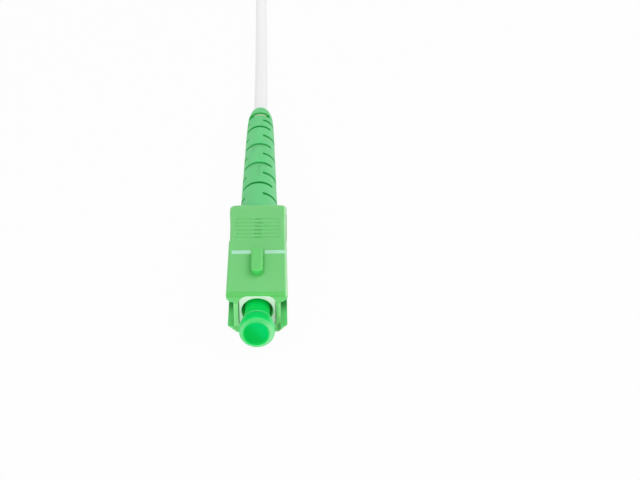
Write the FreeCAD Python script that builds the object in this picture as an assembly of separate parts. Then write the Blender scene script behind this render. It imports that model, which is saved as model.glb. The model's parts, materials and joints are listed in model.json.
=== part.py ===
"""SC fibre connector with an angled ferrule, its dust cap, boot and cable pigtail.

Millimetres. X runs across the plug, Y from the dust cap back along the cable, Z up.
The origin is the middle of the housing's underside, which rests on the table.
"""
import FreeCAD, Part
import math
import os

V = FreeCAD.Vector
os.makedirs("parts", exist_ok=True)

# ---- Driving dimensions ------------------------------------------------------------------
plug_width = 9.0            # SC plug body, across
plug_height = 7.4           # SC plug body, without the key
housing_front, housing_rear = -0.8, 22.4    # distances behind the plug's datum plane
axis_z = plug_height / 2    # height of the ferrule's axis above the table
datum_y = -(housing_front + housing_rear) / 2
run_gap = 0.07              # running gap on each side of sliding flat faces
seat_gap = 0.01             # gap left between round pieces that are pushed together
over = 1.0                  # how far a cutting tool runs past the face that it cuts

pull_travel = 1.5           # housing pulled back over the plug frame to unlatch
float_travel = 0.8          # ferrule pushed back against its spring

# Housing: distance behind the datum, half width, low, high, top and bottom corner sizes
side_x = plug_width / 2
housing_stations = [
    (housing_front, side_x - 0.16, 0.14, plug_height - 0.24, 0.50, 1.22),
    (-0.65, side_x - 0.06, 0.04, plug_height - 0.08, 0.55, 1.30),
    (-0.35, side_x, 0, plug_height, 0.60, 1.35),
    (12.60, side_x, 0, plug_height, 0.60, 1.35),
    (12.95, side_x - 0.14, 0, plug_height, 0.55, 1.35),
    (20.00, side_x - 0.04, 0, plug_height, 0.55, 1.35),
    (20.35, side_x + 0.10, 0, plug_height, 0.55, 1.35),
    (21.85, side_x + 0.10, 0, plug_height, 0.55, 1.35),
    (22.10, side_x - 0.05, 0.04, plug_height - 0.04, 0.52, 1.30),
    (housing_rear, side_x - 0.70, 0.16, plug_height - 0.16, 0.45, 1.15),
]
key_width, key_height = 1.75, 0.8
key_front, key_rear = 3.7, 9.4
rib_count, rib_pitch, rib_first = 6, 1.0, 13.25
rib_groove_width, rib_groove_depth, rib_groove_length = 0.34, 0.09, 7.0
rib_notch_length, rib_notch_depth = 1.15, 0.18
under_groove_length = 5.2   # the lower ribs stop short of the underside's edges
rear_opening, rear_opening_front = 3.3, 18.6    # radius round the boot, and where it starts
rim_depth = 3.4             # the front rim that guides the nose
lug_front, lug_rear = 13.0, 14.0                # lugs inside the side walls, which stop the travel
lug_inner, lug_half_height = 3.12, 0.7

# Plug frame
nose_width, nose_height, nose_corner = 5.4, 6.3, 1.35
nose_front, nose_rear = -0.25, 5.0
frame_width, frame_height, frame_corner = 6.9, 6.3, 0.5
frame_rear = 19.4
nose_bore, nose_mouth = 2.3, 0.12       # radius round the ferrule, and the bevel at its mouth
web_front, web_rear = 4.2, 5.2
chamber = 2.5               # radius of the spring chamber
collar_key_rear, collar_key_inner = 6.8, 2.05   # keys in the chamber for the ferrule's collar
catch_front, catch_peak, catch_rear = 5.0, 6.4, 7.2
catch_rise, catch_height = 0.35, 2.2            # ramps on the sides that lift the adapter's hooks
ear_front, ear_rear = 16.85, 18.05              # snap ears that hold the rear body
ear_half_width, ear_rise = 1.1, 0.45

# Latch slots each side of the nose, open to the side and front, for an adapter's two hooks
slot_rear = 8.6
slot_outline = [(3.45, 1.3), (5.2, 1.3), (5.2, 7.05), (3.8, 5.85), (3.45, 5.85)]    # x, z

# Ferrule group
ferrule_radius = 1.25
ferrule_tip, ferrule_rear = -2.3, 8.2
polish_angle = 8.0
cone_length, cone_tip_radius = 0.7, 0.62
glass_radius = 0.0625
buffer_radius = 0.45
collar_radius, collar_rear = 2.3, 7.0
neck_radius, neck_rear = 1.6, 9.8
tube_outer, tube_inner = 0.69, 0.52
tube_front, tube_rear = 8.85, 19.0
spring_wire, spring_radius, spring_turns = 0.23, 1.95, 5
spring_sides = 5            # flats round the spring's wire

# Rear body, crimp and cable end
stop_front, stop_rear = 13.6, 28.0
stop_bore = 1.1
jacket_radius = 1.3
jacket_front = 30.0         # where the jacket is stripped back to
buffer_hole = float_travel + 0.7                # hole in the jacket's end for the fibre buffer
body_collar, body_tail = 2.9, 2.0               # radii of the rear body's flange and tail
flange_width, knurl_depth = 0.7, 0.06
sleeve_front, sleeve_rear = 20.3, 33.0
sleeve_step = 27.3          # where the sleeve tapers down to the jacket
sleeve_inner, sleeve_wall = 2.25, 0.38

# Boot: outline as distance and radius, first the long tapers and then the rounded tip
boot_front, boot_tip = 20.2, 59.2
boot_outline = [(boot_front, 3.12), (24.0, 3.12), (37.0, 2.87), (51.0, 2.58), (55.0, 2.43)]
boot_tip_outline = [(56.6, 2.33), (57.8, 2.14), (58.7, 1.92), (boot_tip, 1.72)]
boot_flare_front, boot_flare = 49.0, 0.26       # where the bore opens out, and by how much
slit_width = 0.5
slit_stations = [26.9 + 3.33 * i for i in range(8)] + [52.9]
slit_turns = (71.0, -8.5)   # degrees from the top of the first pair of slits and of the next
slit_half_arc = 59.0        # degrees each side of a slit's middle
tip_slit, tip_slit_width = 55.35, 1.3       # the last pair, wide enough to show the cable

# Dust cap
cap_bore = ferrule_radius + 0.03
cap_stem, cap_stem_end, cap_bore_end = 1.84, 3.2, -4.5
cap_head = [(-2.2, cap_stem), (-2.55, 2.05), (-3.1, 2.28), (-3.8, 2.48), (-4.4, 2.6), (-5.8, 2.48)]
cap_end, cap_end_tilt = -5.12, 9.0      # the end face, and the angle by which it looks up
cap_dish, cap_dish_depth, cap_rim_bevel = 1.83, 0.15, 0.2

# Cable: 1 m of jacketed cable, straight out of the boot and then wound in a tied hank
hank_layers, hank_rings = 4, 2
hank_straight = 22.0        # length of the hank's straight runs between the fold centres
fold_radius = 12.6          # centre line of the innermost ring at the folds
tie_thickness, tie_width = 0.5, 6.0
cable_lift = tie_thickness + jacket_radius
outer_ring = fold_radius + (hank_rings - 1) * 2 * jacket_radius
hank_near = 130.9           # Y of the near fold's centre
hank_bevel = 0.8            # worn off the outside edges of the wound bundle
cable_aside = -0.4          # how far to the side the cable has wandered where the hank begins
hank_x = cable_aside + outer_ring
cable_route = [
    (0.0, 19.2, axis_z),
    (0.0, 49.9, axis_z),
    (-0.1, 80.9, 1.35),
    (cable_aside, 105.4, 1.35),
    (cable_aside, 118.4, cable_lift),
]


# ---- Helpers -----------------------------------------------------------------------------
def at(distance):
    """Y of a place this far behind the plug's datum plane."""
    return datum_y + distance


def save(shape, node):
    """Write one piece, and stop if it isn't one sound solid."""
    if not shape.isValid() or len(shape.Solids) != 1:
        raise ValueError(f"{node}: valid {shape.isValid()}, solids {len(shape.Solids)}")
    shape.Solids[0].exportStep(f"parts/{node}.step")
    print(f"{node}: {shape.Volume:.2f} mm3")


def box(x0, x1, d0, d1, z0, z1):
    """A box from its limits, with Y as distances behind the datum."""
    return Part.makeBox(x1 - x0, d1 - d0, z1 - z0, V(x0, at(d0), z0))


def corner_arc(centre, radius, start):
    """A quarter arc in the XZ plane, anticlockwise from the angle start, in degrees."""
    points = []
    for turn in (0, 45, 90):
        a = math.radians(start + turn)
        points.append(centre + V(radius * math.cos(a), 0, radius * math.sin(a)))
    return Part.Arc(*points)


def section(distance, half_width, low, high, top_corner, low_corner):
    """A closed outline across the plug, with rounded top and bevelled lower corners."""
    y = at(distance)
    w, t, c = half_width, top_corner, low_corner
    right = corner_arc(V(w - t, y, high - t), t, 0)
    left = corner_arc(V(t - w, y, high - t), t, 90)
    corners = [V(w, y, high - t), V(w - t, y, high), V(t - w, y, high), V(-w, y, high - t),
               V(-w, y, low + c), V(c - w, y, low), V(w - c, y, low), V(w, y, low + c)]
    sides = [right, None, left] + [None] * 5
    edges = []
    for i, side in enumerate(sides):
        line = side or Part.LineSegment(corners[i], corners[(i + 1) % len(corners)])
        edges.append(line.toShape())
    return Part.Wire(edges)


def rounded_block(width, height, corner, d0, d1):
    """A block with four rounded long edges, centred on the ferrule's axis."""
    block = box(-width / 2, width / 2, d0, d1, axis_z - height / 2, axis_z + height / 2)
    long_edges = [e for e in block.Edges if abs(e.tangentAt(e.FirstParameter).y) > 0.99]
    return block.makeFillet(corner, long_edges)


def turned(profile):
    """A solid of revolution about the ferrule's axis, from (distance, radius) points."""
    points = [V(0, at(d), axis_z + r) for d, r in profile]
    face = Part.Face(Part.makePolygon(points + points[:1]))
    return face.revolve(V(0, 0, axis_z), V(0, 1, 0), 360)


def rod(radius, d0, d1):
    """A round bar on the ferrule's axis."""
    return Part.makeCylinder(radius, d1 - d0, V(0, at(d0), axis_z), V(0, 1, 0))


def rolled(shape, degrees):
    """A copy turned about the ferrule's axis, from the top towards +X."""
    copy = shape.copy()
    copy.rotate(V(0, 0, axis_z), V(0, 1, 0), degrees)
    return copy


def both_sides(shape):
    """The shape and its mirror image across the plug's middle."""
    return [shape, shape.mirror(V(0, 0, 0), V(1, 0, 0))]


def prism_y(points, d0, d1):
    """A prism along Y from an outline of (x, z) points."""
    corners = [V(x, at(d0), z) for x, z in points]
    return Part.Face(Part.makePolygon(corners + corners[:1])).extrude(V(0, d1 - d0, 0))


# ---- Outer housing -----------------------------------------------------------------------
def rib_grooves(face_z, outward, length):
    """Six finger grooves across the grip, each with a deeper notch at its middle."""
    cuts = []
    for i in range(rib_count):
        middle = rib_first + i * rib_pitch
        for across, depth in ((length, rib_groove_depth), (rib_notch_length, rib_notch_depth)):
            low, high = sorted((face_z - outward * depth, face_z + outward * over))
            cuts.append(box(-across / 2, across / 2, middle - rib_groove_width / 2,
                            middle + rib_groove_width / 2, low, high))
    return cuts


def polarity_key():
    """The key on the top face: a low bar with a round nose and softened top edges."""
    half, low, rise = key_width / 2, plug_height - 0.2, key_height + 0.2
    bar = box(-half, half, key_front + half, key_rear, low, low + rise)
    nose = Part.makeCylinder(half, rise, V(0, at(key_front + half), low))
    key = bar.fuse(nose).removeSplitter()
    return key.makeFillet(0.2, [e for e in key.Edges if e.BoundBox.ZMin > low + rise - 0.01])


def outer_housing():
    """The push-pull grip: a lofted moulding with key, ribs, nose opening and latch slots."""
    shell = Part.makeLoft([section(*station) for station in housing_stations], True, True)
    shell = shell.fuse(polarity_key())

    cavity_half = frame_width / 2 + run_gap
    slot = prism_y(slot_outline, housing_front - over, slot_rear)
    cuts = [
        rounded_block(nose_width + 2 * run_gap, nose_height + 2 * run_gap, nose_corner + run_gap,
                      housing_front - over, rim_depth + 0.1),
        rounded_block(2 * cavity_half, frame_height + 2 * run_gap, frame_corner + run_gap,
                      rim_depth, housing_rear + over),
        rod(rear_opening, rear_opening_front, housing_rear + over),
    ]
    cuts += both_sides(slot)
    cuts += rib_grooves(plug_height, 1, rib_groove_length) + rib_grooves(0, -1, under_groove_length)
    shell = shell.cut(cuts)

    # Short lugs inside the side walls, which run in the plug frame's side slots
    lug = box(lug_inner, cavity_half + 0.2, lug_front, lug_rear,
              axis_z - lug_half_height, axis_z + lug_half_height)
    return shell.fuse(both_sides(lug)).removeSplitter()


# ---- Plug frame --------------------------------------------------------------------------
def plug_frame():
    """The inner body: a nose round the ferrule, latch catches, and the spring chamber."""
    nose = rounded_block(nose_width, nose_height, nose_corner, nose_front, nose_rear + 0.5)
    nose_edges = [e for e in nose.Edges if e.BoundBox.YMax < at(nose_front) + 0.01]
    nose = nose.makeFillet(0.15, nose_edges)
    body = rounded_block(frame_width, frame_height, frame_corner, nose_rear, frame_rear)
    half, peak = frame_width / 2, frame_width / 2 + catch_rise
    ramp = [V(half - 0.2, at(catch_front), 0), V(half, at(catch_front), 0), V(peak, at(catch_peak), 0),
            V(peak, at(catch_rear), 0), V(half - 0.2, at(catch_rear), 0)]
    catch = Part.Face(Part.makePolygon(ramp + ramp[:1])).extrude(V(0, 0, catch_height))
    catch.translate(V(0, 0, axis_z - catch_height / 2))
    frame = nose.fuse([body] + both_sides(catch))

    slot_half = lug_half_height + 0.3
    side_slot = box(lug_inner - 0.15, half + over, lug_front - 0.1, lug_rear + pull_travel + 0.2,
                    axis_z - slot_half, axis_z + slot_half)
    window_half = ear_half_width + 0.2
    ear_window = box(-window_half, window_half, ear_front - 0.15, ear_rear + 0.15,
                     axis_z + chamber - 0.3, axis_z + frame_height)
    mouth = turned([(nose_front - nose_mouth, 0), (nose_front - nose_mouth, nose_bore + 2 * nose_mouth),
                    (nose_front + nose_mouth, nose_bore), (web_front, nose_bore), (web_front, 0)])
    cuts = [mouth, rod(ferrule_radius + run_gap, web_front - over, web_rear + over),
            rod(chamber, web_rear, frame_rear + over), ear_window, rolled(ear_window, 180)]
    frame = frame.cut(cuts + both_sides(side_slot))

    # Two keys in the chamber hold the ferrule's collar at its tuned angle
    key = box(-0.35, 0.35, web_rear - 0.2, collar_key_rear,
              axis_z + collar_key_inner, axis_z + chamber + 0.2)
    return frame.fuse([key, rolled(key, 180)]).removeSplitter()


# ---- Ferrule group -----------------------------------------------------------------------
def polished(shape):
    """Cut back at the tip by the angled polish, which slopes down towards the front."""
    waste = Part.makeBox(6, 4, 6, V(-3, at(ferrule_tip) - 4, axis_z - 3))
    waste.rotate(V(0, at(ferrule_tip), axis_z), V(1, 0, 0), -polish_angle)
    return shape.cut(waste)


def ferrule():
    """The ceramic ferrule, with its cone, its angled end and the fibre's fine hole."""
    hole = glass_radius + 0.001
    blank = turned([(ferrule_tip - 0.3, hole), (ferrule_tip - 0.3, cone_tip_radius),
                    (ferrule_tip + cone_length, ferrule_radius), (ferrule_rear - 0.1, ferrule_radius),
                    (ferrule_rear, ferrule_radius - 0.1), (ferrule_rear, buffer_radius),
                    (ferrule_rear - 0.6, hole)])
    return polished(blank)


def ferrule_collar():
    """The metal collar pressed on the ferrule, with four tuning notches and a rear neck."""
    grip, bevel, tube_seat = ferrule_radius + seat_gap, 0.15, tube_outer + seat_gap
    collar = turned([(web_rear, grip), (web_rear, collar_radius - bevel), (web_rear + bevel, collar_radius),
                     (collar_rear, collar_radius), (collar_rear, neck_radius), (neck_rear, neck_radius),
                     (neck_rear, tube_seat), (tube_front, tube_seat), (tube_front, tube_inner),
                     (ferrule_rear + seat_gap, tube_inner), (ferrule_rear + seat_gap, grip)])
    notch = box(-0.5, 0.5, web_rear - over, collar_rear + 0.1,
                axis_z + collar_key_inner - 0.15, axis_z + chamber)
    return collar.cut([rolled(notch, 90 * i) for i in range(4)])


def fibre_guide_tube():
    """The fine tube that leads the fibre from the collar through the spring."""
    return rod(tube_outer, tube_front, tube_rear).cut(rod(tube_inner, tube_front - over, tube_rear + over))


def ferrule_spring():
    """The coil spring between the collar and the rear body.

    Each half turn is a half ring, tilted so that it climbs half the pitch and meets the
    next one squarely, with the wire's section carried on from one to the other.
    """
    length = stop_front - collar_rear - 2 * spring_wire - 2 * seat_gap
    climb = V(0, length / spring_turns / 2, 0)
    here = V(spring_radius, at(collar_rear + spring_wire + seat_gap), axis_z)
    flats = [2 * math.pi * (i + 0.5) / spring_sides for i in range(spring_sides)]
    corners = [here + V(spring_wire * math.cos(a), spring_wire * math.sin(a), 0) for a in flats]
    wire = Part.Face(Part.makePolygon(corners + corners[:1]))
    halves = []
    for i in range(2 * spring_turns):
        across = V(-2 * here.x, 0, 0) + climb
        upwards = V(0, 0, (-1) ** i)
        middle, axle = here + across / 2, upwards.cross(across)
        halves.append(wire.revolve(middle, axle, 180))
        wire.rotate(middle, axle, 180)
        here += across
    return halves[0].fuse(halves[1:]).removeSplitter()


# ---- Rear body, crimp and fibre ----------------------------------------------------------
def rear_body():
    """The turned metal body that snaps into the plug frame and carries the crimp."""
    snug, flange_rear = chamber - 0.04, frame_rear + flange_width
    outline = [(stop_front, stop_bore), (stop_front, snug), (frame_rear, snug), (frame_rear, body_collar),
               (flange_rear, body_collar), (flange_rear, body_tail)]
    for i in range(2):
        groove = flange_rear + 2 + 2.5 * i
        outline += [(groove, body_tail), (groove + 0.4, body_tail - knurl_depth), (groove + 0.8, body_tail)]
    outline += [(stop_rear, body_tail), (stop_rear, stop_bore)]
    ear = [V(0, at(ear_front), snug - 0.5), V(0, at(ear_front), snug), V(0, at(ear_rear), snug + ear_rise),
           V(0, at(ear_rear), snug - 0.5)]
    snap = Part.Face(Part.makePolygon(ear + ear[:1])).extrude(V(2 * ear_half_width, 0, 0))
    snap.translate(V(-ear_half_width, 0, axis_z))
    return turned(outline).fuse([snap, rolled(snap, 180)]).removeSplitter()


def crimp_sleeve():
    """The two-step sleeve crimped over the yarn and down onto the jacket."""
    grip, wall = jacket_radius + 0.02, sleeve_wall
    return turned([(sleeve_front, sleeve_inner), (sleeve_step, sleeve_inner), (jacket_front, grip),
                   (sleeve_rear, grip), (sleeve_rear, grip + wall), (jacket_front + 0.1, grip + wall),
                   (sleeve_step + 0.2, sleeve_inner + wall), (sleeve_front, sleeve_inner + wall)])


def aramid_yarn():
    """The yarn, fanned out of the jacket's end and over the rear body's tail."""
    low, high, front = body_tail + 0.02, sleeve_inner - 0.03, sleeve_front + 0.2
    return turned([(front, low), (front, high), (sleeve_step - 0.1, high),
                   (jacket_front, jacket_radius - 0.04), (jacket_front, 0.5), (stop_rear + 0.3, 1.5),
                   (stop_rear + 0.02, 1.75), (stop_rear + 0.02, low)])


# ---- Boot --------------------------------------------------------------------------------
def boot_radius(distance):
    """The boot's outer radius, from the straight stretches of its outline."""
    for (d0, r0), (d1, r1) in zip(boot_outline, boot_outline[1:]):
        if distance <= d1:
            return r0 + (r1 - r0) * (distance - d0) / (d1 - d0)
    return boot_outline[-1][1]


def slit_pair(distance, width, turn):
    """Two opposite slits, cut square to the axis down to flat floors that set their arc."""
    radius = boot_radius(distance)
    floor = radius * math.cos(math.radians(slit_half_arc))
    cut = box(-2 * radius, 2 * radius, distance - width / 2, distance + width / 2,
              axis_z + floor, axis_z + 2 * radius)
    return [rolled(cut, turn), rolled(cut, turn + 180)]


def strain_relief_boot():
    """The flexible boot: a tapered tube with slits in pairs, which face two ways in turn."""
    bore, room, narrow = jacket_radius + 0.04, sleeve_inner + sleeve_wall + 0.03, 1.84
    inside = [(boot_tip, jacket_radius + boot_flare), (boot_flare_front, bore), (sleeve_rear + 0.3, bore),
              (sleeve_rear + 0.3, narrow), (jacket_front + 0.2, narrow), (sleeve_step + 0.3, room),
              (boot_front, room)]
    boot = turned(boot_outline + boot_tip_outline + inside)
    slits = slit_pair(tip_slit, tip_slit_width, slit_turns[1])
    for i, distance in enumerate(slit_stations):
        slits += slit_pair(distance, slit_width, slit_turns[i % 2])
    return boot.cut(slits)


# ---- Dust cap ----------------------------------------------------------------------------
def dust_cap():
    """The push-on cap: a tube over the ferrule and a flared head with a dished end."""
    bevel = 0.12
    stem = [(cap_bore_end, 0), (cap_bore_end, cap_bore), (cap_stem_end, cap_bore),
            (cap_stem_end, cap_stem - bevel), (cap_stem_end - bevel, cap_stem)]
    cap = turned(stem + cap_head + [(cap_head[-1][0], 0)])
    waste = Part.makeBox(8, 4, 8, V(-4, at(cap_end) - 4, axis_z - 4))
    dish = rod(cap_dish, cap_end - over, cap_end + cap_dish_depth)
    for tool in (waste, dish):
        tool.rotate(V(0, at(cap_end), axis_z), V(1, 0, 0), -cap_end_tilt)
    cap = cap.cut(waste)
    rim = [e for e in cap.Edges if e.BoundBox.YMax < at(cap_end) + 0.6 and e.BoundBox.XLength > 4]
    return cap.makeChamfer(cap_rim_bevel, rim).cut(dish)


# ---- Cable and hank ----------------------------------------------------------------------
def cable_path():
    """Straight runs joined by tangent arcs, each as large as its two runs allow."""
    points = [V(*p) for p in cable_route]
    edges, start = [], points[0]
    for before, corner, after in zip(points, points[1:], points[2:]):
        arriving, leaving = (corner - before).normalize(), (after - corner).normalize()
        turn = math.acos(max(-1.0, min(1.0, arriving.dot(leaving))))
        setback = 0.45 * min((corner - before).Length, (after - corner).Length)
        radius = setback / math.tan(turn / 2)
        inner = (leaving - arriving).normalize()
        bulge = radius / math.cos(turn / 2) - radius
        p, q = corner - arriving * setback, corner + leaving * setback
        edges += [Part.LineSegment(start, p).toShape(), Part.Arc(p, corner + inner * bulge, q).toShape()]
        start = q
        print(f"cable bend: turn {math.degrees(turn):.1f} deg, radius {radius:.0f} mm")
    edges.append(Part.LineSegment(start, points[-1]).toShape())
    return Part.Wire(edges)


def cable_run():
    """The jacketed cable, from its stripped end in the crimp to the hank.

    The fibre buffer comes out of a short hole in the stripped end, and slides in it.
    """
    path = cable_path()
    circle = Part.makeCircle(jacket_radius, V(*cable_route[0]), V(0, 1, 0))
    tube = path.makePipeShell([Part.Wire(circle)], True, True)
    expected = math.pi * jacket_radius ** 2 * path.Length
    print(f"cable run: {path.Length:.1f} mm long, volume {tube.Volume:.1f}, expected {expected:.1f} mm3")
    return tube.cut(rod(buffer_radius + 0.05, jacket_front - 1, jacket_front + buffer_hole))


def racetrack(half_width, low, high):
    """A block with two straight sides and round ends, centred on the hank."""
    block = Part.makeBox(2 * half_width, hank_straight, high - low,
                         V(hank_x - half_width, hank_near, low))
    ends = [Part.makeCylinder(half_width, high - low, V(hank_x, hank_near + y, low))
            for y in (0, hank_straight)]
    return block.fuse(ends).removeSplitter()


def cable_hank():
    """The outer shape of the wound cable, with the lead-in that the run meets."""
    high = tie_thickness + 2 * jacket_radius * hank_layers
    outer = racetrack(outer_ring + jacket_radius, tie_thickness, high)
    edge_loops = [e for e in outer.Edges if abs(e.tangentAt(e.FirstParameter).z) < 0.01]
    outer = outer.makeChamfer(hank_bevel, edge_loops)
    ring = outer.cut(racetrack(fold_radius - jacket_radius, tie_thickness - over, high + over))
    before, end = V(*cable_route[-2]), V(*cable_route[-1])
    lead_in = Part.makeCylinder(jacket_radius, hank_near - over - end.y, end, end - before)
    return ring.fuse(lead_in).removeSplitter()


def hank_tie(side):
    """A strap closed round one of the hank's straight bundles."""
    half = hank_rings * jacket_radius
    high = tie_thickness + 2 * jacket_radius * hank_layers
    middle = hank_x + side * (fold_radius + outer_ring) / 2
    y0 = hank_near + (hank_straight - tie_width) / 2
    outer = Part.makeBox(2 * (half + tie_thickness), tie_width, high + tie_thickness,
                         V(middle - half - tie_thickness, y0, 0))
    inner = Part.makeBox(2 * half, tie_width + 2 * over, high - tie_thickness,
                         V(middle - half, y0 - over, tie_thickness))
    corners = [e for e in outer.Edges if abs(e.tangentAt(e.FirstParameter).y) > 0.99]
    return outer.makeFillet(1.0, corners).cut(inner)


# ---- Build every piece -------------------------------------------------------------------
save(outer_housing(), "outer_housing")
save(plug_frame(), "plug_frame")
save(ferrule(), "ferrule")
save(ferrule_collar(), "ferrule_collar")
save(fibre_guide_tube(), "fibre_guide_tube")
save(ferrule_spring(), "ferrule_spring")
save(polished(rod(glass_radius, ferrule_tip - 0.3, ferrule_rear - 0.6)), "glass_fibre")
save(rod(buffer_radius, ferrule_rear + 0.01, jacket_front + 0.4), "fibre_buffer")
save(rear_body(), "rear_body")
save(crimp_sleeve(), "crimp_sleeve")
save(aramid_yarn(), "aramid_yarn")
save(strain_relief_boot(), "strain_relief_boot")
save(dust_cap(), "dust_cap")
save(cable_run(), "cable_run")
save(cable_hank(), "cable_hank")
for side, node in ((-1, "hank_tie_left"), (1, "hank_tie_right")):
    save(hank_tie(side), node)
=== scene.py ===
"""Finishes, cable and studio for an SC fibre connector with its dust cap and pigtail.

Metres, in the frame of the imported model: X across the plug, Y back along the cable, Z up.
"""

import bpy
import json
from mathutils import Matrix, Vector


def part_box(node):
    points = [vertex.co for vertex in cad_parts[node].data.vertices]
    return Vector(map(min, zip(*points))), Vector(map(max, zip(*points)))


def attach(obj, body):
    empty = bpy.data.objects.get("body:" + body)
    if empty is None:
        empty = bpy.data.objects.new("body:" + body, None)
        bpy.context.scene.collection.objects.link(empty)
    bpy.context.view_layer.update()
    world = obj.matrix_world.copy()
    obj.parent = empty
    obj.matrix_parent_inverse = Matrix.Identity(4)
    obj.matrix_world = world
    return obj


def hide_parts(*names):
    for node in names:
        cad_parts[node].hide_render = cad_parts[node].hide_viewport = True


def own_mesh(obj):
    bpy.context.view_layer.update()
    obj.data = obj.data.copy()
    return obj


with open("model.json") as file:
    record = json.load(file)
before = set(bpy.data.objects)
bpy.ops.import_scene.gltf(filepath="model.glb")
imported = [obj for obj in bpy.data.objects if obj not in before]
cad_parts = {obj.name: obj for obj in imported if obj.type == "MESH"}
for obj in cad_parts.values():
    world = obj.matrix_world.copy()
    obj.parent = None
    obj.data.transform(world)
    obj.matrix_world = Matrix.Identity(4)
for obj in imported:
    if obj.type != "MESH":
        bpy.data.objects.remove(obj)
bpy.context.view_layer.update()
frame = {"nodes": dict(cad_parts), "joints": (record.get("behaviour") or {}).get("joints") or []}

import json
import math

import bmesh
import bpy
from mathutils import Matrix, Vector

MM = 0.001
nodes = frame["nodes"]


# ---- Places on the connector ---------------------------------------------------------------
ferrule_low, ferrule_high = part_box("ferrule")
axis_z = (ferrule_low.z + ferrule_high.z) / 2

# The rest of these are in millimetres, as the finishes and the cap use them
AXIS_MM = axis_z / MM
FRONT_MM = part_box("outer_housing")[0].y / MM        # the housing's front edge
TOP_MM = 7.4                                        # the housing's top face
KEY_MM = 1.75                                       # the key's width
KEY_FRONT, KEY_REAR = FRONT_MM + 4.5, FRONT_MM + 10.2
KEY_TOP = TOP_MM + 0.8
BAR_LEFT, BAR_RIGHT = (-3.95, -1.02), (1.12, 4.6)   # the two painted bars across the top
BAR_ALONG = (-1.85, -1.0)
SLOT_ACROSS, SLOT_UP = (3.43, 4.46), (1.2, 6.4)     # how far the painted shade of the latch slots reaches
SLOT_REAR = FRONT_MM + 9.4
OPENING_HALF = (2.8, 3.28)                          # just over half the opening round the nose
NOSE_FRONT, NOSE_BORE = FRONT_MM + 0.55, 2.3        # the bore is given by its radius
BOOT_TAPER = FRONT_MM + 24.8                        # where the boot starts to taper
BOOT_TAPERS = ((3.12, 0.02), (3.592, 0.0375))       # radius carried to there, and fall per mm
SLIT_FIRST, SLIT_PITCH = 2.9, 3.33                  # from there to the first slit's middle
SLIT_CLOSER, TIP_SLIT_WIDER = (0.64, 0.88), 0.4     # how the last two slits differ
SLIT_TURNS = (71.0, -8.5)                           # the ways that slits face, in degrees
CAP_LEDGE, CAP_END = 1.6, 4.32                      # how far forward the cap's ledge and end are
CAP_TILT = math.radians(9)
CAP_DISH, CAP_DISH_LEFT, CAP_DISH_DOWN = 1.9, 0.12, 0.18    # the dish's radius and its place


# ---- Camera --------------------------------------------------------------------------------
CAMERA_PLACE = (0.00323, -0.12448, 0.09859) # in metres
CAMERA_ANGLES = (2.93, 35.86, 1.13)         # azimuth, elevation and roll, in degrees
CAMERA_LENS, CAMERA_SENSOR = 56.25, 36      # in mm
CAMERA_REACH = (0.005, 20)                  # the nearest and the furthest that it sees


def camera():
    """Looks down on the plug from in front, nearly square to it."""
    azimuth, elevation, roll = (math.radians(angle) for angle in CAMERA_ANGLES)
    level = math.cos(elevation)
    ahead = Vector((math.sin(azimuth) * level, math.cos(azimuth) * level, -math.sin(elevation)))
    right = Vector((math.cos(azimuth), -math.sin(azimuth), 0))
    up = right.cross(ahead)
    across = right * math.cos(roll) + up * math.sin(roll)
    upwards = up * math.cos(roll) - right * math.sin(roll)
    lens = bpy.data.cameras.new("camera")
    lens.lens, lens.sensor_width = CAMERA_LENS, CAMERA_SENSOR
    lens.clip_start, lens.clip_end = CAMERA_REACH
    view = bpy.data.objects.new("camera", lens)
    turn = Matrix((across, upwards, -ahead)).transposed()
    view.matrix_world = Matrix.Translation(CAMERA_PLACE) @ turn.to_4x4()
    bpy.context.collection.objects.link(view)
    bpy.context.scene.camera = view


# ---- Finishes ------------------------------------------------------------------------------
def colour(red, green, blue):
    """A display colour, 0 to 255, as the linear colour that a socket takes."""
    def linear(part):
        part /= 255
        return part / 12.92 if part <= 0.04045 else ((part + 0.055) / 1.055) ** 2.4
    return (linear(red), linear(green), linear(blue), 1.0)


class Value:
    """A socket, which sums in Python extend with Math nodes."""

    def __init__(self, finish, socket):
        self.finish, self.socket = finish, socket

    def maths(self, operation, *terms):
        return self.finish.node("ShaderNodeMath", {"operation": operation}, dict(enumerate(terms)))

    def __add__(self, other):
        return self.maths("ADD", self, other)

    def __sub__(self, other):
        return self.maths("SUBTRACT", self, other)

    def __rsub__(self, other):
        return self.maths("SUBTRACT", other, self)

    def __mul__(self, other):
        return self.maths("MULTIPLY", self, other)

    def __truediv__(self, other):
        return self.maths("DIVIDE", self, other)

    def __pow__(self, other):
        return self.maths("POWER", self, other)

    def __mod__(self, other):
        return self.maths("MODULO", self, other)

    def __abs__(self):
        return self.maths("ABSOLUTE", self)

    def least(self, other):
        return self.maths("MINIMUM", self, other)

    __radd__, __rmul__ = __add__, __mul__


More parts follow.
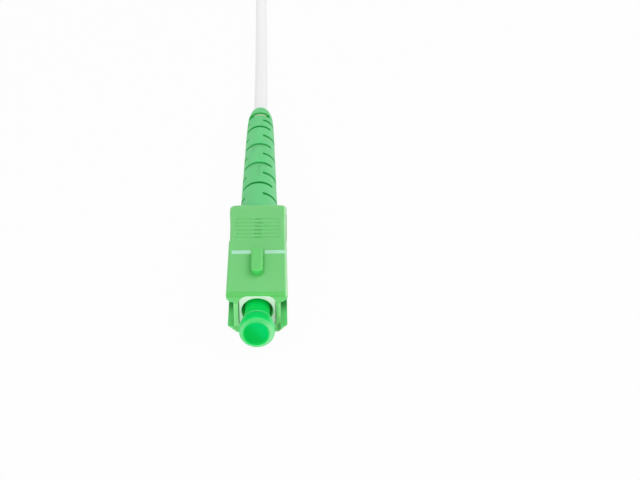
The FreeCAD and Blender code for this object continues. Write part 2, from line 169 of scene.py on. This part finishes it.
class Finish:
    """A material whose pattern follows the connector's own X, Y and Z, in millimetres.

    body is its colour so far, and lay() puts another one over a part of it.
    """

    def __init__(self, name, base, roughness, **constants):
        self.material = bpy.data.materials.new(name)
        self.material.use_nodes = True
        self.tree = self.material.node_tree
        self.shader = self.tree.nodes["Principled BSDF"]
        self.body = base
        self.wear("Base Color", base)
        self.wear("Roughness", roughness)
        for socket, value in constants.items():
            self.wear(socket.replace("_", " ").title().replace("Ior", "IOR"), value)
        self.place = self.node("ShaderNodeTexCoord", out="Object")
        apart = self.node("ShaderNodeSeparateXYZ", {}, {0: self.place}).socket.node
        self.x, self.y, self.z = (Value(self, socket) * (1 / MM) for socket in apart.outputs)

    def node(self, kind, settings=None, sockets=None, out=0):
        """One node: its type, its settings, its sockets' values or links, and the output used."""
        node = self.tree.nodes.new(kind)
        for name, setting in (settings or {}).items():
            setattr(node, name, setting)
        for name, value in (sockets or {}).items():
            self.join(node.inputs[name], value)
        return Value(self, node.outputs[out])

    def join(self, socket, value):
        if isinstance(value, Value):
            self.tree.links.new(value.socket, socket)
        else:
            socket.default_value = value

    def wear(self, socket, value):
        """Give the shader's own socket a value, or link it."""
        self.join(self.shader.inputs[socket], value)

    def noise(self, size, stretch=(1, 1, 1), detail=2.0):
        """Soft noise from 0 to 1, with features of about this size in mm."""
        place = self.node("ShaderNodeVectorMath", {"operation": "MULTIPLY"},
                          {0: self.place, 1: stretch})
        return self.node("ShaderNodeTexNoise", {},
                         {"Vector": place, "Scale": 1 / (size * MM), "Detail": detail})

    def ease(self, value, low, high, start=0.0, end=1.0):
        """start up to low, end from high on, and smooth between."""
        return self.node("ShaderNodeMapRange", {"interpolation_type": "SMOOTHSTEP"},
                         {"Value": value, "From Min": low, "From Max": high,
                          "To Min": start, "To Max": end})

    def fall(self, value, low, high):
        """1 up to low, 0 from high on, and smooth between."""
        return self.ease(value, low, high, 1.0, 0.0)

    def within(self, value, low, high, soft=0.04):
        """1 between two limits and 0 outside them."""
        return self.ease(value, low - soft, low + soft) * self.fall(value, high - soft, high + soft)

    def blend(self, first, second, share):
        """A colour between two colours."""
        return self.node("ShaderNodeMix", {"data_type": "RGBA"},
                         {0: share, 6: first, 7: second}, out=2)

    def lay(self, over, share):
        """Put a colour over the body, where share is above 0."""
        self.body = self.blend(self.body, over, share)

    def relief(self, height, depth):
        """Raise the surface by this pattern, to this depth in mm."""
        bump = self.node("ShaderNodeBump", {}, {"Distance": depth * MM, "Height": height})
        self.wear("Normal", bump)

    def radius(self):
        """Distance from the ferrule's axis, in mm."""
        up = self.z - AXIS_MM
        return (self.x * self.x + up * up) ** 0.5


TRANSLUCENT = dict(subsurface_weight=0.5, subsurface_radius=(0.3, 1.0, 0.35),
                   subsurface_scale=0.8 * MM)


def housing_finish():
    """Satin green moulding, with painted shade deep in the slots and round the key, and two painted
    bars on top.
    """
    f = Finish("housing_green", colour(118, 208, 124), 0.42, specular_ior_level=0.3, **TRANSLUCENT)
    f.body = f.blend(colour(112, 206, 119), colour(122, 213, 128), f.noise(5.0))
    key_on_top(f)
    housing_edges(f)
    latch_slots(f)
    across = f.within(f.x, *BAR_LEFT) + f.within(f.x, *BAR_RIGHT)
    paint = across * f.within(f.y, *BAR_ALONG) * f.ease(f.z, TOP_MM - 0.45, TOP_MM - 0.25)
    paint = paint * f.fall(f.z, TOP_MM + 0.05, TOP_MM + 0.12)
    f.lay(colour(182, 238, 208), paint * (0.85 + 0.2 * f.noise(0.5)))
    f.wear("Base Color", f.body)
    f.wear("Roughness", 0.36 + 0.14 * f.noise(0.8) - 0.08 * paint)
    f.relief(f.noise(0.09, detail=3.0) + 6 * paint, 0.004)
    return f.material


def key_on_top(f):
    """Painted shade along the top's front edge and round the key, widest on its left."""
    # Painted shade in a band along the top's front edge
    front_edge_shade = f.fall(f.y, FRONT_MM + 0.2, FRONT_MM + 0.7) * f.ease(f.z, TOP_MM - 0.8, TOP_MM - 0.5)
    f.lay(colour(80, 192, 84), front_edge_shade * 0.6)

    # The key is rounded in front, so the distance from it is taken from the middle of that round
    ahead = KEY_FRONT + KEY_MM / 2 - f.y
    ahead = ahead * f.ease(ahead, 0.0, 0.01)
    from_key = (f.x * f.x + ahead * ahead) ** 0.5 - KEY_MM / 2
    reach = 1.3 - 0.9 * f.ease(f.x, -0.8, 0.8) + 0.3 * f.ease(ahead, 0.2, 0.8)
    # Painted shade round the key on the top face, widest on its left
    key_shade = f.fall(from_key / reach, 0.0, 1.0) * f.fall(f.y, KEY_REAR - 1.0, KEY_REAR - 0.5)
    on_top = f.within(f.z, TOP_MM - 0.1, TOP_MM + 0.1)
    f.lay(colour(66, 186, 80), key_shade * on_top * 0.7)

    on_key = f.ease(f.z, TOP_MM + 0.1, TOP_MM + 0.3)
    f.lay(colour(104, 212, 112), on_key * 0.8)
    # Painted shade on the key's front face
    face = f.ease(ahead, 0.3, 0.6) * f.ease(from_key, -0.12, -0.04)
    face = face * f.ease(f.z, TOP_MM + 0.02, TOP_MM + 0.06)
    f.lay(colour(78, 204, 102), face * f.fall(f.z, KEY_TOP - 0.18, KEY_TOP - 0.08))
    # Painted highlight along the key's right edge
    key_highlight = on_key * f.within(f.x, 0.5, 0.75, 0.08) * f.ease(f.z, KEY_TOP - 0.2, KEY_TOP - 0.1)
    f.lay(colour(130, 226, 138), key_highlight * 0.28)


def housing_edges(f):
    """Painted highlights on the top's right edge, beside the slots and at the feet, and a painted
    shadow low down on the right.
    """
    side = abs(f.x)
    inner = SLOT_ACROSS[0]
    # Painted highlight along the top's right edge
    right_edge_highlight = f.ease(f.x, 4.06, 4.26) * f.ease(f.z, TOP_MM - 0.75, TOP_MM - 0.5)
    f.lay(colour(186, 236, 184), right_edge_highlight * 0.85)
    # Painted highlights on the front: beside the slots, reaching lower on the left, and along the
    # feet
    on_left = f.fall(f.x, -1.0, 1.0)
    slot_edge_highlight = f.within(side, inner - 0.3 - 0.35 * on_left, inner + 0.02, 0.05)
    slot_edge_highlight = slot_edge_highlight * f.within(f.z, 3.0 - 1.6 * on_left, 5.6, 0.2)
    foot_highlight = f.ease(side - f.z, 2.55, 2.85)
    on_front = f.fall(f.y, FRONT_MM + 0.1, FRONT_MM + 0.4)
    f.lay(colour(160, 240, 168), on_front * (slot_edge_highlight + foot_highlight) * 0.55)
    # Painted shadow low on the front's right, beside the cap
    low_shadow = f.within(f.x, 2.95, inner, 0.12) * f.within(f.z, 0.4, 1.8, 0.4)
    f.lay(colour(46, 146, 62), on_front * low_shadow * 0.75)


def latch_slots(f):
    """Painted light on the walls round the nose, and painted shade in the slots, deeper towards the
    back.
    """
    side = abs(f.x)
    # Painted light on the walls of the opening round the nose
    half_width, half_height = OPENING_HALF
    opening_light = f.fall(side, half_width - 0.02, half_width + 0.02)
    opening_light = opening_light * f.fall(abs(f.z - AXIS_MM), half_height - 0.02, half_height + 0.02)
    f.lay(colour(206, 248, 214), opening_light * f.ease(f.y, FRONT_MM + 0.1, FRONT_MM + 0.2))
    shaded_slot = f.within(side, *SLOT_ACROSS, 0.02) * f.within(f.z, *SLOT_UP, 0.03)
    shaded_slot = shaded_slot * f.fall(f.y, SLOT_REAR, SLOT_REAR + 0.1)
    # Painted shade in the slots, pale at the front and deep towards the back
    depth = f.ease(f.y, FRONT_MM + 2.5, FRONT_MM + 5.5)
    f.lay(f.blend(colour(110, 214, 128), colour(14, 144, 52), depth), shaded_slot)


def frame_finish():
    """White moulding of the nose and plug frame, green inside where the cap shines through."""
    f = Finish("frame_white", colour(244, 252, 244), 0.4, specular_ior_level=1.0,
               subsurface_weight=0.4, subsurface_radius=(1.0, 1.0, 0.9), subsurface_scale=0.6 * MM)
    f.body = f.blend(colour(236, 250, 236), colour(250, 254, 250), f.noise(2.5))
    # Painted green light from the cap, inside the bore
    cap_light_in_bore = f.fall(f.radius(), NOSE_BORE + 0.01, NOSE_BORE + 0.06)
    f.lay(colour(128, 252, 166), cap_light_in_bore * f.ease(f.y, NOSE_FRONT, NOSE_FRONT + 0.2))
    f.wear("Base Color", f.body)
    f.wear("Roughness", 0.34 + 0.14 * f.noise(0.6))
    f.relief(f.noise(0.08, detail=3.0), 0.003)
    return f.material


def boot_finish():
    """Soft green elastomer, with painted shade in the slits and painted light on its right, and
    pale where the cable lies under the last one.
    """
    f = Finish("boot_green", colour(107, 203, 132), 0.5, specular_ior_level=0.3, **TRANSLUCENT)
    along = f.y - BOOT_TAPER
    up = f.z - AXIS_MM

    # The slits stand a pitch apart and face two ways in turn, so place grows by one with each.
    # The last two stand closer, and the last one, at the tip, is wider.
    last_two, tip = f.ease(along, 27.6, 27.9), f.ease(along, 29.8, 30.1)
    closer = SLIT_CLOSER[0] * last_two + SLIT_CLOSER[1] * tip
    place = (along - (SLIT_FIRST - SLIT_PITCH / 2) + closer) / SLIT_PITCH
    across = abs(place % 1 - 0.5) * SLIT_PITCH - TIP_SLIT_WIDER * tip
    turned = f.ease(place % 2, 0.98, 1.02)
    first, second = (math.radians(turn) for turn in SLIT_TURNS)
    facing_x = math.sin(first) + (math.sin(second) - math.sin(first)) * turned
    facing_z = math.cos(first) + (math.cos(second) - math.cos(first)) * turned
    towards = abs(f.x * facing_x + up * facing_z) / f.radius()
    # Painted shade inside the slits and along their edges
    slit_shade = f.fall(across, 0.3, 0.42) * f.ease(towards, 0.5, 0.56)
    slit_shade = slit_shade * f.ease(along, 1.3, 1.4) * f.fall(along, 31.9, 32.3)

    # The cable shows in the tip's slit, at some depth under the two straight tapers
    long_taper, tip_taper = (radius - fall * along for radius, fall in BOOT_TAPERS)
    depth = long_taper.least(tip_taper) - f.radius()
    liner = f.within(along, 30.6, 32.1, 0.1) * f.ease(depth, 0.32, 0.46)
    liner = liner * f.fall(abs(f.x), 1.0, 1.3) * f.ease(up, 0.5, 0.9)

    f.body = f.blend(colour(98, 206, 126), colour(108, 214, 138), f.noise(4.0))
    # Painted light on the boot's right side
    f.lay(colour(124, 224, 152), f.ease(f.x, 0.9, 2.6) * 0.6)
    f.lay(colour(16, 168, 70), slit_shade * 0.9)
    f.lay(colour(244, 255, 222), liner)
    f.wear("Base Color", f.body)
    f.wear("Roughness", 0.44 + 0.16 * f.noise(0.7))
    f.relief(f.noise(0.12, detail=3.0), 0.005)
    return f.material


def cap_finish():
    """Soft translucent green vinyl, with painted light on the stem, painted highlights on the
    ledge, the flanks and round the dished end, and painted shade inside the dished end.
    """
    f = Finish("cap_green", colour(0, 222, 92), 0.3, specular_ior_level=0.04,
               subsurface_weight=0.5, subsurface_radius=(0.1, 1.0, 0.4), subsurface_scale=1.0 * MM,
               sheen_weight=0.06, sheen_roughness=0.4, sheen_tint=colour(170, 245, 190))
    forward = FRONT_MM - f.y
    up = f.z - AXIS_MM
    f.body = f.blend(colour(0, 208, 88), colour(8, 218, 104), f.noise(2.0))
    # Painted light on the stem, against the housing's shade
    f.lay(colour(0, 224, 96), f.fall(forward, CAP_LEDGE - 0.3, CAP_LEDGE))
    # Painted highlight along the ledge
    ledge_highlight = f.within(forward, CAP_LEDGE + 0.05, CAP_LEDGE + 0.55, 0.1)
    f.lay(colour(130, 244, 168), ledge_highlight * 0.95)
    # Painted sheen on the flanks, stronger on the right
    flank_sheen = 1.4 * f.ease(f.x, 1.4, 2.5) + 0.6 * f.fall(f.x, -2.5, -1.6)
    f.lay(colour(118, 234, 154), flank_sheen * f.ease(forward, CAP_LEDGE, CAP_LEDGE + 0.3) * 0.6)

    # Distances from the tilted end and from the dish's edge
    ahead = forward - CAP_END + math.tan(CAP_TILT) * up
    across, above = f.x + CAP_DISH_LEFT, up + CAP_DISH_DOWN
    from_dish = (across * across + above * above) ** 0.5 - CAP_DISH
    # Painted highlight on the ring round the dish, paler on its lit side and fainter near the top
    rim = f.ease(from_dish, -0.1, 0.25) * f.ease(ahead, -0.18, -0.02)
    rim = rim * f.ease(up, 0.6, 2.2, 0.9, 0.45)
    lit = f.ease(f.x - up, -2.2, 2.5)
    f.lay(f.blend(colour(126, 212, 148), colour(146, 226, 164), lit), rim)
    # Painted shade in the dish, lighter on its lit side
    dish_shade = f.fall(from_dish, -0.3, 0.05) * f.ease(ahead, -0.5, -0.3)
    shine = f.ease(f.x + up, -1.6, 1.6)
    f.lay(f.blend(colour(0, 190, 74), colour(0, 208, 106), shine), dish_shade)
    f.wear("Base Color", f.body)
    f.wear("Roughness", 0.26 + 0.12 * f.noise(0.9))
    f.relief(f.noise(0.2), 0.003)
    return f.material


def jacket_finish(end, onward):
    """Smooth white extruded jacket. Its cut end shows golden yarn round a white buffer."""
    f = Finish("cable_white", colour(250, 250, 250), 0.38)
    f.body = f.blend(colour(246, 246, 246), colour(252, 252, 252), f.noise(3.0))
    # Painted light: the jacket paler further back along the cable
    f.lay(colour(253, 253, 253), f.ease(f.y, 45, 110))
    x, y, z = f.x - end.x / MM, f.y - end.y / MM, f.z - end.z / MM
    from_centre = (x * x + y * y + z * z) ** 0.5
    on_end = f.ease(x * onward.x + y * onward.y + z * onward.z, -0.03, -0.01)
    core = f.blend(colour(244, 243, 238), colour(206, 164, 66), f.ease(from_centre, 0.42, 0.48))
    f.lay(core, on_end * f.fall(from_centre, 0.8, 0.85))
    f.wear("Base Color", f.body)
    f.wear("Roughness", 0.32 + 0.14 * f.noise(0.8))
    f.relief(f.noise(0.3), 0.004)
    return f.material


def ceramic_finish():
    """Polished zirconia with a faint cloudiness."""
    f = Finish("ferrule_ceramic", colour(240, 240, 236), 0.1, coat_weight=0.5, coat_roughness=0.03)
    f.wear("Base Color", f.blend(colour(232, 232, 226), colour(244, 244, 241), f.noise(0.9)))
    f.wear("Roughness", 0.07 + 0.08 * f.noise(0.3))
    return f.material


def metal_finish(name, base, ring):
    """Turned and plated metal: fine rings round the axis."""
    f = Finish(name, base, 0.3, metallic=1.0)
    rings = f.noise(ring, stretch=(0.02, 1, 0.02), detail=3.0)
    dull = tuple(0.82 * part for part in base[:3]) + (1.0,)
    f.wear("Base Color", f.blend(dull, base, f.noise(1.4)))
    f.wear("Roughness", 0.2 + 0.22 * rings)
    f.relief(rings, 0.004)
    return f.material


def tube_finish(name, low, high):
    """Smooth extruded tube or buffer with faint draw lines."""
    f = Finish(name, high, 0.3, subsurface_weight=0.2, subsurface_radius=(1.0, 1.0, 1.0),
               subsurface_scale=0.3 * MM)
    f.wear("Base Color", f.blend(low, high, f.noise(1.2)))
    f.wear("Roughness", 0.24 + 0.12 * f.noise(0.5))
    f.relief(f.noise(0.05, stretch=(1, 0.04, 1)), 0.002)
    return f.material


def glass_finish():
    """Bare silica fibre."""
    f = Finish("glass_fibre", colour(236, 244, 250), 0.03, transmission_weight=1.0, ior=1.46)
    f.wear("Roughness", 0.02 + 0.03 * f.noise(0.2))
    return f.material


def yarn_finish():
    """Golden aramid filaments, lying along the cable."""
    f = Finish("aramid_yarn", colour(226, 190, 92), 0.5, sheen_weight=0.3)
    strands = f.noise(0.08, stretch=(1, 0.03, 1), detail=3.0)
    f.wear("Base Color", f.blend(colour(188, 146, 52), colour(238, 208, 120), strands))
    f.wear("Roughness", 0.42 + 0.2 * strands)
    f.relief(strands, 0.03)
    return f.material


WEAVE_SCALE = 900.0             # the wave texture's own scale, per metre


def strap_finish():
    """Black hook-and-loop strap: a close weave with a nap of fine loops."""
    f = Finish("tie_strap", colour(34, 34, 36), 0.85, sheen_weight=0.4, sheen_roughness=0.5)
    warp = f.node("ShaderNodeTexWave", {"bands_direction": "Y"},
                  {"Vector": f.place, "Scale": WEAVE_SCALE})
    loops = f.noise(0.12, detail=3.0)
    nap = 0.5 * warp + loops
    f.wear("Base Color", f.blend(colour(20, 20, 22), colour(58, 58, 62), nap * 0.7))
    f.wear("Roughness", 0.78 + 0.14 * loops)
    f.relief(nap, 0.06)
    return f.material


# ---- Pieces that follow the CAD solids -----------------------------------------------------
MERGE_MM = 0.0005               # points closer than this are one
FLAT_ANGLE = math.radians(0.3)  # faces that meet at less than this are one flat face
SHARP_ANGLE = math.radians(32)  # faces that meet at more than this keep their edge
SOFT_SEGMENTS = 2               # of a softened edge


def link_piece(name, bm):
    """Make an object of a finished bmesh."""
    mesh = bpy.data.meshes.new(name)
    bm.to_mesh(mesh)
    bm.free()
    piece = bpy.data.objects.new(name, mesh)
    bpy.context.collection.objects.link(piece)
    return piece


def finished(piece, body, node, material, sharp_angle=SHARP_ANGLE):
    """Shade a piece smooth but for its edges, give it its material, hang it on its body, and hide
    the CAD part that it stands for.
    """
    piece.data.shade_smooth()
    piece.data.set_sharp_from_angle(angle=sharp_angle)
    piece.data.materials.clear()
    piece.data.materials.append(material)
    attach(piece, body)
    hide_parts(node)
    return piece


def dressed(node, name, body, material, soft=0.0):
    """A merged copy of a CAD piece, which stands for it. Its edges are softened by so many mm."""
    bm = bmesh.new()
    bm.from_mesh(nodes[node].data)
    bmesh.ops.remove_doubles(bm, verts=bm.verts, dist=MERGE_MM * MM)
    bmesh.ops.dissolve_limit(bm, angle_limit=FLAT_ANGLE, verts=bm.verts, edges=bm.edges)
    piece = finished(link_piece(name, bm), body, node, material)
    if soft:
        bevel = piece.modifiers.new("soft_edges", "BEVEL")
        bevel.width, bevel.segments = soft * MM, SOFT_SEGMENTS
        bevel.limit_method, bevel.angle_limit = "ANGLE", SHARP_ANGLE
        bevel.use_clamp_overlap = False
        bevel.harden_normals = True
    return piece


# ---- Dust cap ------------------------------------------------------------------------------
CAP_BORE = [(3.7, 0), (3.7, 1.28), (-4.0, 1.28)]        # distance in front of the housing, radius
CAP_OUTSIDE = [(-4.0, 1.84), (CAP_LEDGE, 1.84), (1.64, 1.95), (1.75, 2.1), (2.0, 2.28), (2.4, 2.42),
               (2.8, 2.52), (3.2, 2.58), (5.0, 2.62), (5.0, 0)]
CAP_STEPS = 72
CAP_MERGE_MM, CAP_SHARP_ANGLE = 0.001, math.radians(40)
CAP_RIM = 0.78                                          # width of the ring round the dish
CAP_DISHING = ((0.12, 0.1), (0.3, 0.06), (0.5, 0.02))   # each further step's width and drop
CAP_ROUNDING, CAP_ROUNDING_STEPS = 0.4, 5


def push_on_cap(material):
    """A tube with a closed end, turned in one, cut off at a tilt, and dished and rounded there."""
    bm = bmesh.new()
    outline = [bm.verts.new((radius * MM, (FRONT_MM - forward) * MM, 0))
               for forward, radius in CAP_BORE + CAP_OUTSIDE]
    edges = [bm.edges.new(pair) for pair in zip(outline, outline[1:])]
    bmesh.ops.spin(bm, geom=outline + edges, axis=(0, 1, 0), angle=2 * math.pi,
                   steps=CAP_STEPS, use_merge=True)
    bmesh.ops.remove_doubles(bm, verts=bm.verts, dist=CAP_MERGE_MM * MM)
    end = (0, (FRONT_MM - CAP_END) * MM, 0)
    facing = (0, -math.cos(CAP_TILT), math.sin(CAP_TILT))
    cut = bmesh.ops.bisect_plane(bm, geom=bm.verts[:] + bm.edges[:] + bm.faces[:],
                                 plane_co=end, plane_no=facing, clear_outer=True)
    rim = [part for part in cut["geom_cut"] if isinstance(part, bmesh.types.BMEdge)]
    face = bmesh.ops.contextual_create(bm, geom=rim)["faces"]
    bmesh.ops.recalc_face_normals(bm, faces=bm.faces)

    def inset(width, sink):
        bmesh.ops.inset_individual(bm, faces=face, thickness=width * MM, depth=-sink * MM,
                                   use_even_offset=True)

    inset(CAP_RIM, 0.0)
    slope = CAP_DISH_DOWN * math.tan(CAP_TILT)
    bmesh.ops.translate(bm, verts=face[0].verts[:],
                        vec=(-CAP_DISH_LEFT * MM, -slope * MM, -CAP_DISH_DOWN * MM))
    for width, sink in CAP_DISHING:
        inset(width, sink)

    bmesh.ops.bevel(bm, geom=rim, offset=CAP_ROUNDING * MM, segments=CAP_ROUNDING_STEPS,
                    affect="EDGES", profile=0.5, material=-1)
    bmesh.ops.translate(bm, verts=bm.verts, vec=(0, 0, axis_z))
    bmesh.ops.recalc_face_normals(bm, faces=bm.faces)
    piece = link_piece("push_on_cap", bm)
    return finished(piece, "cap", "dust_cap", material, CAP_SHARP_ANGLE)


# ---- Cable ---------------------------------------------------------------------------------
CABLE = 2.6 * MM                # jacket diameter
# Control points in metres, from inside the boot down to the hank
CABLE_ROUTE = [(0.0, 0.0192, 0.0037), (0.0, 0.0499, 0.0037), (-0.0001, 0.0809, 0.00135),
               (-0.0004, 0.1054, 0.00135), (-0.0004, 0.1184, 0.0018)]
FOLD = 12.6 * MM                # centre line of the hank's inner ring at its folds
HANK_MIDDLE = 14.8 * MM         # X of the hank's long middle line
HANK_NEAR, HANK_STRAIGHT = 130.9 * MM, 22 * MM
HANK_TURNS = 6.76
RING_ORDER = [(1, 0), (0, 0), (0, 1), (1, 1), (1, 2), (0, 2), (0, 3), (1, 3)]   # ring, layer
FOLD_CORNERS, STRAIGHT_POINTS = 6, 3    # control points of each fold and each straight
CABLE_ORDER, CABLE_STEPS = 3, 8         # the line's order, and its steps from point to point
CABLE_ROUNDING = 6                      # the bevel resolution, which rounds the jacket


def eased(x):
    """0 before 0, 1 after 1, and smooth between."""
    x = min(1.0, max(0.0, x))
    return x * x * (3 - 2 * x)


def ring_place(turns):
    """Radius and height of the cable after so many turns: it changes ring once in each turn.

    The top turns change first, so that each one moves into a place that is already free.
    """
    strand, share = int(turns), turns % 1
    changes = len(RING_ORDER) - 1
    window = 1 / changes
    moved = eased((share - (changes - 1 - strand) * window) / window)
    (ring, layer), (next_ring, next_layer) = RING_ORDER[strand], RING_ORDER[strand + 1]
    ring += (next_ring - ring) * moved
    layer += (next_layer - layer) * moved
    return FOLD + ring * CABLE, CABLE_ROUTE[-1][2] + layer * CABLE


def hank_points():
    """Control points of the wound turns: corners round each fold, and points on each straight."""
    step = math.pi / FOLD_CORNERS
    loop = []
    for side, fold_y in ((-1, HANK_NEAR + HANK_STRAIGHT), (1, HANK_NEAR)):
        for i in range(STRAIGHT_POINTS):
            run = HANK_STRAIGHT * (i + 0.5) / STRAIGHT_POINTS
            y = fold_y + side * (HANK_STRAIGHT - run)
            loop.append((side, 0, y))
        for i in range(FOLD_CORNERS):
            angle = (i + 0.5) * step
            loop.append((side * math.cos(angle) / math.cos(step / 2),
                         -side * math.sin(angle) / math.cos(step / 2), fold_y))
    points = []
    for count in range(int(HANK_TURNS * len(loop))):
        across, along, y = loop[count % len(loop)]
        radius, height = ring_place(count / len(loop))
        points.append((HANK_MIDDLE + across * radius, y + along * radius, height))
    return points


def cable():
    """The jacketed cable: straight out of the boot, down to the table, and wound in a hank."""
    curve = bpy.data.curves.new("cable", "CURVE")
    curve.dimensions = "3D"
    spline = curve.splines.new("NURBS")
    points = CABLE_ROUTE + hank_points()
    spline.points.add(len(points) - 1)
    for target, place in zip(spline.points, points):
        target.co = (*place, 1)
    spline.order_u = CABLE_ORDER
    spline.use_endpoint_u = True
    spline.resolution_u = CABLE_STEPS
    curve.bevel_depth = CABLE / 2
    curve.bevel_resolution = CABLE_ROUNDING
    curve.use_fill_caps = True
    last, end = (Vector(point) for point in points[-2:])
    curve.materials.append(jacket_finish(end, (end - last).normalized()))
    piece = bpy.data.objects.new("cable", curve)
    bpy.context.collection.objects.link(piece)
    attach(piece, "plug_core")
    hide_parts("cable_run", "cable_hank")
    return piece


# ---- Studio --------------------------------------------------------------------------------
SURROUND_LIGHT, SURROUND_SEEN = 0.72, 1.0       # strength as a light, and where it is seen directly
FLOOR_SIZE, FLOOR_DROP = 3, 0.02 * MM
FLOOR_COLOUR, FLOOR_ROUGHNESS = (0.8, 0.8, 0.8, 1), 0.9
FLOOR_GLOW = 0.95                               # share of its own white, where it is seen directly
LAMPS = (("soft_lamp", 0.4, 0.4, (0.28, 0.03, 0.38)),       # name, width, watts and place
         ("front_fill", 0.4, 0.88, (-0.08, -0.43, 0.12)))
LAMP_AIM = Vector((0, 0.01, 0))


def seen_directly(tree):
    """1 for rays from the camera and for those that gloss or glass sends on, otherwise 0."""
    path = tree.nodes.new("ShaderNodeLightPath")
    total = path.outputs["Is Camera Ray"]
    for ray in ("Is Glossy Ray", "Is Transmission Ray"):
        either = tree.nodes.new("ShaderNodeMath")
        either.operation = "MAXIMUM"
        tree.links.new(total, either.inputs[0])
        tree.links.new(path.outputs[ray], either.inputs[1])
        total = either.outputs[0]
    return total


def surround():
    """A plain bright world, which is white where it is seen directly."""
    world = bpy.data.worlds.new("surround")
    bpy.context.scene.world = world
    world.use_nodes = True
    tree = world.node_tree
    background = tree.nodes["Background"]
    background.inputs["Color"].default_value = (1, 1, 1, 1)
    strength = tree.nodes.new("ShaderNodeMapRange")
    strength.inputs["To Min"].default_value = SURROUND_LIGHT
    strength.inputs["To Max"].default_value = SURROUND_SEEN
    tree.links.new(seen_directly(tree), strength.inputs["Value"])
    tree.links.new(strength.outputs[0], background.inputs["Strength"])


def pale_floor():
    """A pale floor that keeps the shadow."""
    bm = bmesh.new()
    bmesh.ops.create_grid(bm, x_segments=1, y_segments=1, size=FLOOR_SIZE)
    bmesh.ops.translate(bm, verts=bm.verts, vec=(0, 0, -FLOOR_DROP))
    floor = link_piece("floor", bm)
    material = bpy.data.materials.new("floor")
    material.use_nodes = True
    tree = material.node_tree
    surface = tree.nodes["Principled BSDF"]
    surface.inputs["Base Color"].default_value = FLOOR_COLOUR
    surface.inputs["Roughness"].default_value = FLOOR_ROUGHNESS
    glow = tree.nodes.new("ShaderNodeEmission")
    both = tree.nodes.new("ShaderNodeMixShader")
    share = tree.nodes.new("ShaderNodeMath")
    share.operation = "MULTIPLY"
    share.inputs[1].default_value = FLOOR_GLOW
    tree.links.new(seen_directly(tree), share.inputs[0])
    tree.links.new(share.outputs[0], both.inputs[0])
    tree.links.new(surface.outputs[0], both.inputs[1])
    tree.links.new(glow.outputs[0], both.inputs[2])
    tree.links.new(both.outputs[0], tree.nodes["Material Output"].inputs["Surface"])
    floor.data.materials.append(material)


def lamps():
    """Two large soft lamps: one from the right and above, and a fill from in front."""
    for name, width, energy, place in LAMPS:
        lamp = bpy.data.lights.new(name, "AREA")
        lamp.shape, lamp.size, lamp.energy = "DISK", width, energy
        light = bpy.data.objects.new(name, lamp)
        light.location = place
        light.rotation_euler = (LAMP_AIM - light.location).to_track_quat("-Z", "Y").to_euler()
        bpy.context.collection.objects.link(light)


def studio():
    """The plain view settings, surround, floor and lamps."""
    bpy.context.scene.view_settings.view_transform = "Standard"
    surround()
    pale_floor()
    lamps()


# ---- The connector -------------------------------------------------------------------------
nickel = metal_finish("plated_metal", colour(214, 212, 206), 0.12)
camera()
dressed("outer_housing", "push_pull_housing", "housing", housing_finish(),
        soft=0.05)
dressed("plug_frame", "plug_nose", "plug_core", frame_finish(), soft=0.04)
dressed("strain_relief_boot", "slit_boot", "plug_core", boot_finish())
push_on_cap(cap_finish())
dressed("ferrule", "ceramic_ferrule", "ferrule_group", ceramic_finish())
dressed("ferrule_collar", "notched_collar", "ferrule_group", nickel)
dressed("fibre_guide_tube", "guide_tube", "ferrule_group",
        tube_finish("guide_tube", colour(222, 222, 216), colour(240, 240, 236)))
dressed("glass_fibre", "bare_fibre", "ferrule_group", glass_finish())
dressed("fibre_buffer", "tight_buffer", "ferrule_group",
        tube_finish("fibre_buffer", colour(232, 230, 222), colour(246, 245, 240)))
dressed("rear_body", "crimp_body", "plug_core", nickel)
dressed("crimp_sleeve", "two_step_sleeve", "plug_core", nickel)
dressed("aramid_yarn", "yarn_bundle", "plug_core", yarn_finish())
strap = strap_finish()
ties = [dressed(f"hank_tie_{side}", f"strap_{side}", "plug_core", strap, soft=0.1)
        for side in ("left", "right")]
spring = dressed("ferrule_spring", "coil_spring", "ferrule_group",
                 metal_finish("spring_steel", colour(176, 176, 178), 0.2))
spring_front, spring_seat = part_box("ferrule_spring")[0].y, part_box("rear_body")[0].y
float_travel = next(joint["range_m"][1] for joint in frame["joints"]
                    if joint["name"] == "ferrule_float")
1 - float_travel / (spring_seat - spring_front)
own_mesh(spring)
cable()
studio()
